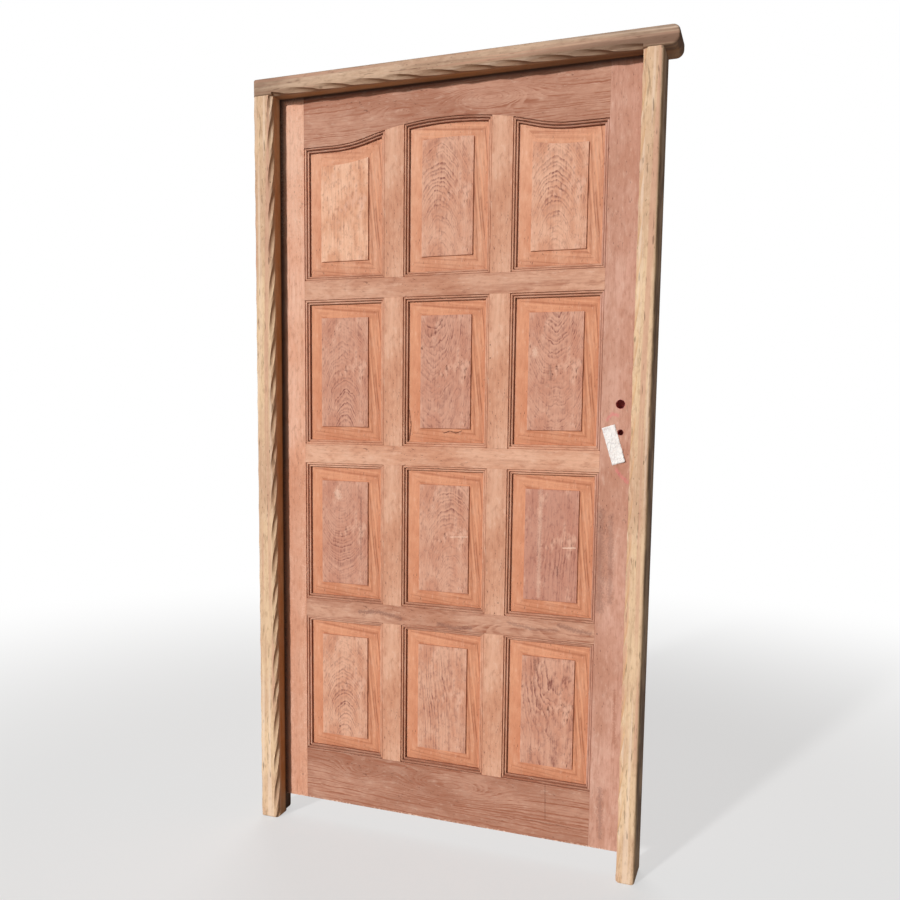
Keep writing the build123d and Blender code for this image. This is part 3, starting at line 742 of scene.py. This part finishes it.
def panel_work(low, high, lean, heart, figure, seat, rose_share, flecks, marks=()):
    """Work on a panel: strands along the right and end bevels, and a sanded field with arches and flecks."""
    centre = (low + high) / 2
    half = (high - low) / 2 - field_margin
    light = between(peach, field_rose, rose_share)
    deep = between(salmon, field_rose, rose_share)

    def work(place, board, threads, colour):
        aside = board.part("X") - half.x
        ahead = abs(board.part("Z")) - half.z
        right = (aside - ahead).fade(-mitre_blur, mitre_blur) * aside.fade(-mitre_blur, mitre_blur)
        ends = (ahead - abs(board.part("X")) + half.x).fade(-mitre_blur, mitre_blur) * 0.6
        for bold, slant in ((right, strand_slant), (ends, math.pi / 2 - strand_slant)):
            strands = place.seen_from(centre, (0.0, slant, 0.0)).drawn(120, 120, 4).cloud(1, 3, 0.6)
            colour = colour.layered(
                (bold * (1 - strands.fade(0.36, 0.48)) * 0.6, flame_pale),
                (bold * strands.fade(0.5, 0.66) * 0.7, flame_line),
            )
        arches = growth(place.seen_from(centre, (lean, 0.0, 0.0)), heart, arch_ring, figure)
        mottle = board.drawn(1, 1, 0.6).cloud(18, 4, 0.65)
        worn = board.drawn(1, 1, 0.6).cloud(26, 3, 0.6)
        speckle = board.drawn(1, 1, 0.5).cloud(150, 3, 0.65)
        broken = (0.4 + threads.fade(0.38, 0.6) * 0.6) * (0.5 + speckle.fade(0.4, 0.56) * 0.5)
        shown = 0.16 + near(board, *seat) * 0.9 + (1 - worn.fade(0.42, 0.56)) * (figure * 21)
        cluster = board.drawn(1, 1, 0.7).cloud(22, 2).fade(0.5, 0.62)
        dashes = board.drawn(170, 170, 60).cloud(1, 3, 0.6).fade(0.54, 0.68)
        face = mottle.fade(0.36, 0.64).tint(light, deep).layered(
            (worn.fade(0.54, 0.68) * 0.55, field_pale),
            (speckle.fade(0.5, 0.7) * 0.36, field_line),
            (arches * broken * shown, field_line),
            (threads.fade(0.5, 0.75) * 0.2, field_line),
            (cluster * dashes * (0.3 + arches * 0.7) * flecks, umber_pore),
        )
        field = abs(place.part("Y") - leaf_middle).fade(field_edge - field_blur, field_edge + field_blur)
        return marked(place, field.tint(colour, face), marks)

    return work


panel_boards = {
    "row1_left": dict(
        lean=0.02, heart=(0.12, 0.25), figure=0.008, seat=(0.0, 0.3, 0.01, 0.01),
        rose_share=-0.2, flecks=0.05,
    ),
    "row1_middle": dict(
        lean=-0.3, heart=(-0.02, 0.06), figure=0.016, seat=(-0.02, 0.06, 0.04, 0.09),
        rose_share=0.25, flecks=0.8,
    ),
    "row1_right": dict(
        lean=-0.3, heart=(-0.01, 0.06), figure=0.013, seat=(-0.01, 0.03, 0.04, 0.09),
        rose_share=0.1, flecks=0.7,
    ),
    "row2_left": dict(
        lean=-0.3, heart=(0.0, 0.06), figure=0.022, seat=(0.0, -0.09, 0.045, 0.08),
        rose_share=0.45, flecks=0.9,
    ),
    "row2_middle": dict(
        lean=0.2, heart=(-0.03, 0.08), figure=0.03, seat=(-0.03, 0.11, 0.035, 0.05),
        rose_share=0.5, flecks=1.3,
        marks=(
            (
                ((-0.0243, 1.1416), (-0.0072, 1.1472), (0.0099, 1.1422), (0.0268, 1.1479)),
                0.0022, crack_dark, 0.9,
            ),
            (((-0.1265, 1.202), (-0.1204, 1.1615), (-0.126, 1.1205)), 0.003, crack_dark, 0.8),
        ),
    ),
    "row2_right": dict(
        lean=0.3, heart=(0.0, 0.07), figure=0.026, seat=(0.0, 0.12, 0.04, 0.05),
        rose_share=0.45, flecks=1.0,
        marks=(
            (((0.224, 1.357), (0.225, 1.349)), 0.012, rub_pale, 0.35),
            (((0.265, 1.318), (0.267, 1.284)), 0.008, stain_grey, 0.5),
        ),
    ),
    "row3_left": dict(
        lean=0.35, heart=(-0.01, 0.07), figure=0.013, seat=(-0.01, -0.05, 0.05, 0.06),
        rose_share=0.5, flecks=0.8,
        marks=(
            (((-0.342, 0.968), (-0.335, 0.954)), 0.014, rub_pale, 0.4),
            (((-0.2666, 0.96), (-0.2666, 0.78)), 0.003, stain_grey, 0.6),
        ),
    ),
    "row3_middle": dict(
        lean=-0.3, heart=(0.02, 0.06), figure=0.018, seat=(0.02, 0.1, 0.04, 0.06),
        rose_share=0.35, flecks=0.8,
        marks=((((-0.001, 0.8615), (0.05, 0.8645)), 0.002, rub_pale, 0.6),),
    ),
    "row3_right": dict(
        lean=0.03, heart=(-0.08, 0.2), figure=0.014, seat=(0.02, -0.05, 0.05, 0.06),
        rose_share=0.7, flecks=0.7,
        marks=(
            (((0.31, 0.851), (0.3415, 0.853)), 0.0024, rub_pale, 0.8),
            (((0.2475, 1.0), (0.2475, 0.72)), 0.009, rub_pale, 0.25),
            (((0.296, 0.8), (0.297, 0.78)), 0.004, stain_grey, 0.6),
        ),
    ),
    "row4_left": dict(
        lean=-0.3, heart=(0.0, 0.06), figure=0.014, seat=(0.0, -0.04, 0.045, 0.08),
        rose_share=0.15, flecks=0.5,
        marks=((((-0.3334, 0.2875), (-0.3334, 0.2863)), 0.004, crack_dark, 0.7),),
    ),
    "row4_middle": dict(
        lean=0.03, heart=(0.08, 0.2), figure=0.014, seat=(-0.02, 0.0, 0.04, 0.12),
        rose_share=0.25, flecks=0.5,
    ),
    "row4_right": dict(
        lean=0.05, heart=(0.03, 0.16), figure=0.024, seat=(-0.02, 0.08, 0.06, 0.09),
        rose_share=0.4, flecks=1.2,
        marks=(
            (((0.243, 0.545), (0.246, 0.52)), 0.006, stain_grey, 0.5),
            (((0.2348, 0.3), (0.236, 0.27)), 0.006, stain_grey, 0.5),
        ),
    ),
}
for number, (name, board) in enumerate(panel_boards.items()):
    node = "panel_" + name
    low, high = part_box(node)
    # The top row's bevels are painted paler, as painted light.
    painted_top_light = 0.5 if name.startswith("row1") else 0.0
    tones = (between(flame, peach, painted_top_light), between(flame_deep, salmon, painted_top_light), calm_line, umber_pore)
    heart = (0.05 * (number % 3 - 1), far_heart + 0.01 * number)
    work = panel_work(low, high, **board)
    finish = raw_board(
        node, (0.0, 0.03, 0.0), heart, ring=0.0024, figure=0.007, tones=tones, lines=0.3, work=work
    )
    dress(node, finish)
    ease(node)

# Paper tag: a strip of white paper pasted by its upper end on the lock stile, beside the
# lower lock hole. Its free lower corner has curled off the wood, and it is left blank.

tag_width = 0.034
tag_length = 0.097
tag_lean = math.radians(17.5)
tag_curl = 0.006
tag_wave = 0.0004
waves_across = 9.0
waves_up = 14.0
corner_pull = 0.55
tag_columns = 12
tag_rows = 32
tag_low, tag_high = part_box("paper_tag")
tag_middle = (tag_low + tag_high) / 2
sheet = bmesh.new()
bmesh.ops.create_grid(sheet, x_segments=tag_columns, y_segments=tag_rows, size=0.5)
for spot in sheet.verts:
    across, up = spot.co.x, spot.co.y
    free = max(0.0, corner_pull * across - up) / ((1 + corner_pull) / 2)
    wave = tag_wave * math.sin(across * waves_across) * math.sin(up * waves_up) ** 2
    lift = tag_curl * free ** 3 + wave
    flat = Matrix.Rotation(tag_lean, 2) @ Vector((across * tag_width, up * tag_length))
    spot.co = (tag_middle.x + flat.x, tag_low.y - abs(lift), tag_middle.z + flat.y)
tag_mesh = bpy.data.meshes.new("blank_tag")
sheet.to_mesh(tag_mesh)
for face in tag_mesh.polygons:
    face.use_smooth = True
tag = put("blank_tag", tag_mesh)
thickness = tag.modifiers.new("thickness", "SOLIDIFY")
thickness.thickness = tag_high.y - tag_low.y
thickness.offset = 0.0
paper_white = tone(250, 247, 243)
fibre_and_crease_shade_grey = tone(218, 212, 208)
crease_shade_grey = tone(176, 168, 174)
smudge_pink = tone(222, 190, 188)
finish, shader, place = new_finish("tag_paper")
fibres = place.cloud(900, 3)
crease = place.drawn(30, 30, 90).cloud(1, 2)
smudge = place.cloud(45, 3).fade(0.55, 0.75)
fold = abs(place.drawn(70, 70, 45).cloud(1, 3, 0.6) - 0.5)
# The paper is greyed by its fibres and darkened along creases and folds as painted shade, with pink smudges.
paper = (fibres * 0.2 + crease.fade(0.5, 0.8) * 0.3).tint(paper_white, fibre_and_crease_shade_grey).layered(
    ((1 - fold.fade(0.0, 0.03)) * crease.fade(0.4, 0.6) * 0.5, crease_shade_grey),
    (smudge * 0.3, smudge_pink),
)
paper.feed(shader.inputs["Base Color"])
shader.inputs["Roughness"].default_value = 0.75
(crease + fold.fade(0.0, 0.12)).bump(strength=0.8, depth=0.002).feed(shader.inputs["Normal"])
tag_mesh.materials.append(finish)
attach(tag, "leaf")
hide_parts("paper_tag")

# Studio: a plain pale floor under the feet, one soft key from the upper left, a weak fill from
# behind, an even white surround, and a camera that stands where the door was seen from.

white = (1, 1, 1, 1)
floor_grey = (0.7, 0.7, 0.7, 1)
floor_reach = 40.0
floor_fade = (1.2, 4.0)
corners = [(x * floor_reach, y * floor_reach, 0) for x, y in ((-1, -1), (1, -1), (1, 1), (-1, 1))]
floor_mesh = bpy.data.meshes.new("floor")
floor_mesh.from_pydata(corners, [], [(0, 1, 2, 3)])
floor = put("floor", floor_mesh)
finish, shader, place = new_finish("floor_pale")
shader.inputs["Base Color"].default_value = floor_grey
shader.inputs["Roughness"].default_value = 0.9
far = place.node("VectorMath", {"operation": "LENGTH"}, {0: place}, output="Value").fade(*floor_fade)
seen = place.node("LightPath", output="Is Camera Ray")
glow = place.node("Emission", inputs={"Color": white, "Strength": 1.0})
glow_share = (0.55 + far * 0.45) * seen
mixed = place.node("MixShader", inputs={0: glow_share, 1: Strand(shader.outputs[0]), 2: glow})
mixed.feed(finish.node_tree.nodes["Material Output"].inputs["Surface"])
floor_mesh.materials.append(finish)

warm_fill = (1.0, 0.88, 0.78, 1)
world = bpy.data.worlds.new("surround")
world.use_nodes = True
bpy.context.scene.world = world
backdrop = world.node_tree.nodes["Background"]
seen = Strand(world.node_tree.nodes.new("ShaderNodeLightPath").outputs["Is Camera Ray"])
seen.tint(warm_fill, white).feed(backdrop.inputs["Color"])
(0.14 + seen * 0.86).feed(backdrop.inputs["Strength"])

key_side = math.radians(20.5)
key_height = math.radians(19)
for name, energy, spread, shine in (
    ("key", 2.75, 4, (math.tan(key_side), 1.0, -math.tan(key_height))),
    ("back_fill", 1.2, 40, (0.4, -1.0, -0.7)),
):
    lamp = bpy.data.lights.new(name, "SUN")
    lamp.energy = energy
    lamp.angle = math.radians(spread)
    put(name, lamp).rotation_euler = Vector(shine).to_track_quat("-Z", "Y").to_euler()

eye = Vector((0.81155, -2.2698, 1.2071))
to_right = Vector((0.93665, 0.35011, 0.01034))
to_top = Vector((-0.04827, 0.09981, 0.99383))
backward = to_right.cross(to_top)
lens = bpy.data.cameras.new("viewer")
lens.sensor_width = 36.0
lens.lens = 36.0
lens.shift_x = 0.01283
lens.shift_y = 0.06489
viewer = put("viewer", lens)
viewer.matrix_world = Matrix.Translation(eye) @ Matrix((to_right, to_top, backward)).transposed().to_4x4()
bpy.context.scene.camera = viewer
bpy.context.scene.view_settings.view_transform = "Standard"
